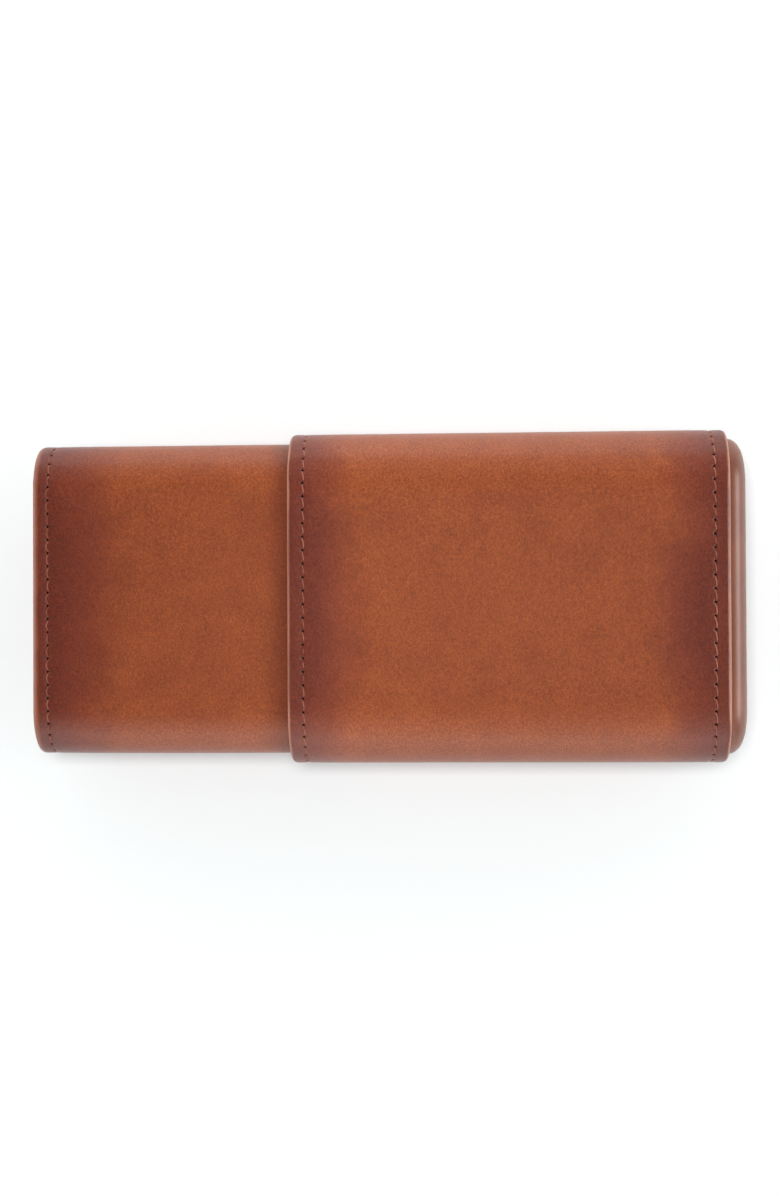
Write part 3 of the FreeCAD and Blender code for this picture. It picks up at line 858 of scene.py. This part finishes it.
def build_case():
    """Every piece of the case, with the body it rides on and the CAD nodes that it replaces."""
    outer_rows = (outer_low.x + ROW_MARGIN, outer_high.x - ROW_MARGIN)
    inner_rows = (inner_low.x + ROW_MARGIN, inner_high.x - ROW_MARGIN)
    outer_hide = leather("outer_leather", outer_low.x, outer_high.x,
                         bands=[(outer_low.x, 5.5 * MM, 21 * MM), (outer_high.x, 7 * MM, 23 * MM)],
                         tones=(1.06, 0.91), rim_wear_and_glint=(0.85 * MM, 0.78))
    inner_hide = leather("inner_leather", inner_low.x, inner_high.x,
                         bands=[(inner_low.x, 6.5 * MM, 27 * MM), (inner_high.x, 4 * MM, 20 * MM)],
                         tones=(0.86, 1.09), rim_wear_and_glint=(2.0 * MM, 0.52), mouth_shadow_x=outer_low.x)
    moulded = moulded_leather("moulded_leather")
    lining = suede("suede")
    thread = waxed_thread("waxed_thread", THREAD)
    dark_thread = waxed_thread("dark_thread", DARK_THREAD)
    greyboard = board("greyboard")
    outer = {"body": "outer_half"}
    inner = {"body": "inner_half"}
    cover = {"slot": "cover_leather", "marked": hole_shade_leather("hole_shade_leather")}
    sewn = {"slot": "thread", "material": thread}
    dark_sewn = {"slot": "thread", "material": dark_thread}
    lined = {"slot": "suede_lining", "material": lining}
    formed = {"slot": "moulded_leather", "material": moulded}

    make_cover("outer_leather", 0.0, outer_low.x, outer_high.x, outer_rows, OUTER_EASE, 11,
               material=outer_hide, replaced=["outer_cover"], **outer, **cover)
    make_cover("inner_leather", INNER_INSET, inner_low.x, inner_high.x, inner_rows, INNER_EASE, 12,
               material=inner_hide, replaced=["inner_cover"], **inner, **cover)
    make_domed_end("domed_end", replaced=["outer_end_cap"], **outer, **formed)
    make_flat_end("flat_end", replaced=["inner_end_cap"], **inner, **formed)
    make_lining("outer_suede", "outer_lining", COVER_THICK + CORE_THICK, 21,
                replaced=["outer_lining"], **outer, **lined)
    make_lining("inner_suede", "inner_lining", INNER_INSET + COVER_THICK + CORE_THICK, 22,
                replaced=["inner_lining"], **inner, **lined)
    make_facing("outer_suede_end", "outer_end_facing", COVER_THICK + CAP_WALL + FACING_GAP, -1,
                replaced=["outer_end_facing"], **outer, **lined)
    make_facing("inner_suede_end", "inner_end_facing", INNER_INSET + COVER_THICK + CAP_WALL + FACING_GAP, 1,
                replaced=["inner_end_facing"], **inner, **lined)
    make_rim_thread("outer_mouth_thread", 0.0, outer_rows[0], OUTER_EASE, SLANTED_LIE, 31,
                    replaced=["outer_mouth_stitches"], **outer, **sewn)
    make_rim_thread("outer_end_thread", 0.0, outer_rows[1], OUTER_EASE, SLANTED_LIE, 32,
                    replaced=["outer_end_stitches"], **outer, **sewn)
    make_rim_thread("inner_end_thread", INNER_INSET, inner_rows[0], INNER_EASE, CURVED_LIE, 33,
                    replaced=["inner_end_stitches"], **inner, **dark_sewn)
    make_rim_thread("inner_mouth_thread", INNER_INSET, inner_rows[1], INNER_EASE, SLANTED_LIE, 34,
                    replaced=["inner_mouth_stitches"], **inner, **sewn)
    make_seam_thread("outer_seam_thread", 0.0, outer_low.x, outer_high.x, 35,
                     replaced=["outer_seam_stitches"], **outer, **sewn)
    make_seam_thread("inner_seam_thread", INNER_INSET, inner_low.x, inner_high.x, 36,
                     replaced=["inner_seam_stitches"], **inner, **sewn)
    for node in ("outer_core", "inner_core", "outer_end_former", "inner_end_board"):
        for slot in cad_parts[node].material_slots:
            slot.material = greyboard


# ---------------------------------------------------------------- floor, light and camera


FLOOR_REACH = 0.42  # half the floor's size
FLOOR_DROP = 0.1 * MM  # the leather's unevenness stays clear of the floor
TENT_STOPS = [(0.0, 1.0), (0.3, 0.50), (0.6, 0.09), (1.0, 0.0)]  # how high, as a sine, and how white
TENT_BRIGHTNESS = 3.0
TENT_SIDE = 0.40  # how much brighter the tent is at +Y than at its middle


def make_floor():
    """A plain pale sheet that the case lies on."""
    corners = [(sign_x * FLOOR_REACH, sign_y * FLOOR_REACH, 0)
               for sign_x, sign_y in ((-1, -1), (1, -1), (1, 1), (-1, 1))]
    mesh = bpy.data.meshes.new("floor")
    mesh.from_pydata(corners, [], [(0, 1, 2, 3)])
    n = Nodes("pale_floor")
    mesh.materials.append(n.finish((*FLOOR_WHITE, 1), 0.9))
    floor = bpy.data.objects.new("floor", mesh)
    floor.location.z = -FLOOR_DROP
    bpy.context.scene.collection.objects.link(floor)


def make_softbox(name, azimuth, elevation, away, width, height, brightness, diffuse=True, glossy=True):
    """A rectangular light that faces the case. brightness is how bright its face is, where 1 is a white wall.

    azimuth is in degrees from +X towards +Y, and elevation in degrees above the table. diffuse and glossy are
    whether it lights the pieces' colour, and whether their gloss mirrors it.
    """
    turn, climb = math.radians(azimuth), math.radians(elevation)
    aim = Vector((0, 0, MIDDLE_Z))
    outward = Vector((math.cos(climb) * math.cos(turn), math.cos(climb) * math.sin(turn), math.sin(climb)))
    light = bpy.data.lights.new(name, "AREA")
    light.shape = "RECTANGLE"
    light.size, light.size_y = width, height
    light.energy = brightness * math.pi * width * height
    box = bpy.data.objects.new(name, light)
    box.location = aim + away * outward
    box.rotation_euler = (-outward).to_track_quat("-Z", "Y").to_euler()
    box.visible_camera = False
    box.visible_diffuse = diffuse
    box.visible_glossy = glossy
    bpy.context.scene.collection.objects.link(box)


def make_tent():
    """A white tent that lights the table: bright at its foot, dim overhead, and brighter on its +Y side."""
    world = bpy.data.worlds.new("tent")
    world.use_nodes = True
    tree = world.node_tree
    background = tree.nodes["Background"]
    place = tree.nodes.new("ShaderNodeTexCoord")
    split = tree.nodes.new("ShaderNodeSeparateXYZ")
    tree.links.new(place.outputs["Generated"], split.inputs[0])
    ramp = tree.nodes.new("ShaderNodeValToRGB")
    points = ramp.color_ramp.elements
    while len(points) < len(TENT_STOPS):
        points.new(0.5)
    for point, (height, white) in zip(points, TENT_STOPS):
        point.position = height
        point.color = (white, white, white, 1)
    tree.links.new(split.outputs[2], ramp.inputs["Fac"])
    tree.links.new(ramp.outputs["Color"], background.inputs["Color"])
    side = tree.nodes.new("ShaderNodeMath")
    side.operation = "MULTIPLY_ADD"
    tree.links.new(split.outputs[1], side.inputs[0])
    side.inputs[1].default_value = TENT_SIDE * TENT_BRIGHTNESS
    side.inputs[2].default_value = TENT_BRIGHTNESS
    tree.links.new(side.outputs[0], background.inputs["Strength"])
    world.cycles_visibility.glossy = False  # the gloss mirrors the softboxes instead
    bpy.context.scene.world = world


def make_lights():
    """The tent, a soft key overhead, a fill from the right, and softboxes that only the gloss mirrors."""
    make_tent()
    # Each has its azimuth, elevation, distance away, width, height and brightness.
    make_softbox("key", 90, 87, 1.20, 0.45, 0.45, 17.6, glossy=False)
    make_softbox("right_fill", 0, 45, 1.10, 0.60, 0.60, 0.9, glossy=False)
    make_softbox("right_mirror", 0, 23, 1.20, 0.90, 0.66, 5.8, diffuse=False)
    make_softbox("left_mirror", 180, 18, 1.20, 1.20, 0.60, 1.4, diffuse=False)
    make_softbox("front_mirror", 270, 20, 1.20, 1.80, 0.85, 1.65, diffuse=False)
    make_softbox("front_top_mirror", 270, 54, 1.20, 1.80, 0.50, 1.0, diffuse=False)
    make_softbox("back_mirror", 90, 11, 1.20, 1.80, 0.50, 1.35, diffuse=False)
    make_softbox("back_top_mirror", 90, 50, 1.20, 1.80, 0.50, 0.5, diffuse=False)


# The camera's place and aim, its roll about its line of sight, and its lens in millimetres.
CAMERA_PLACE = Vector((0.0310, -0.0072, MIDDLE_Z + 0.4923))
CAMERA_AIM = Vector((0.0001, 0.0, MIDDLE_Z))
CAMERA_ROLL = math.radians(0.274)
LENS = 54.06


def make_camera():
    """Straight above the case, a little to the right of its middle, and aimed at its middle."""
    data = bpy.data.cameras.new("camera")
    data.lens = LENS
    data.clip_start = 0.01
    camera = bpy.data.objects.new("camera", data)
    camera.location = CAMERA_PLACE
    back = (CAMERA_PLACE - CAMERA_AIM).normalized()
    up = Vector((math.sin(CAMERA_ROLL), math.cos(CAMERA_ROLL), 0.0))
    right = up.cross(back).normalized()
    turn = Matrix((right, back.cross(right), back)).transposed()
    camera.rotation_euler = turn.to_euler()
    bpy.context.scene.collection.objects.link(camera)
    bpy.context.scene.camera = camera


build_case()
make_floor()
make_lights()
make_camera()
bpy.context.scene.view_settings.view_transform = "Standard"
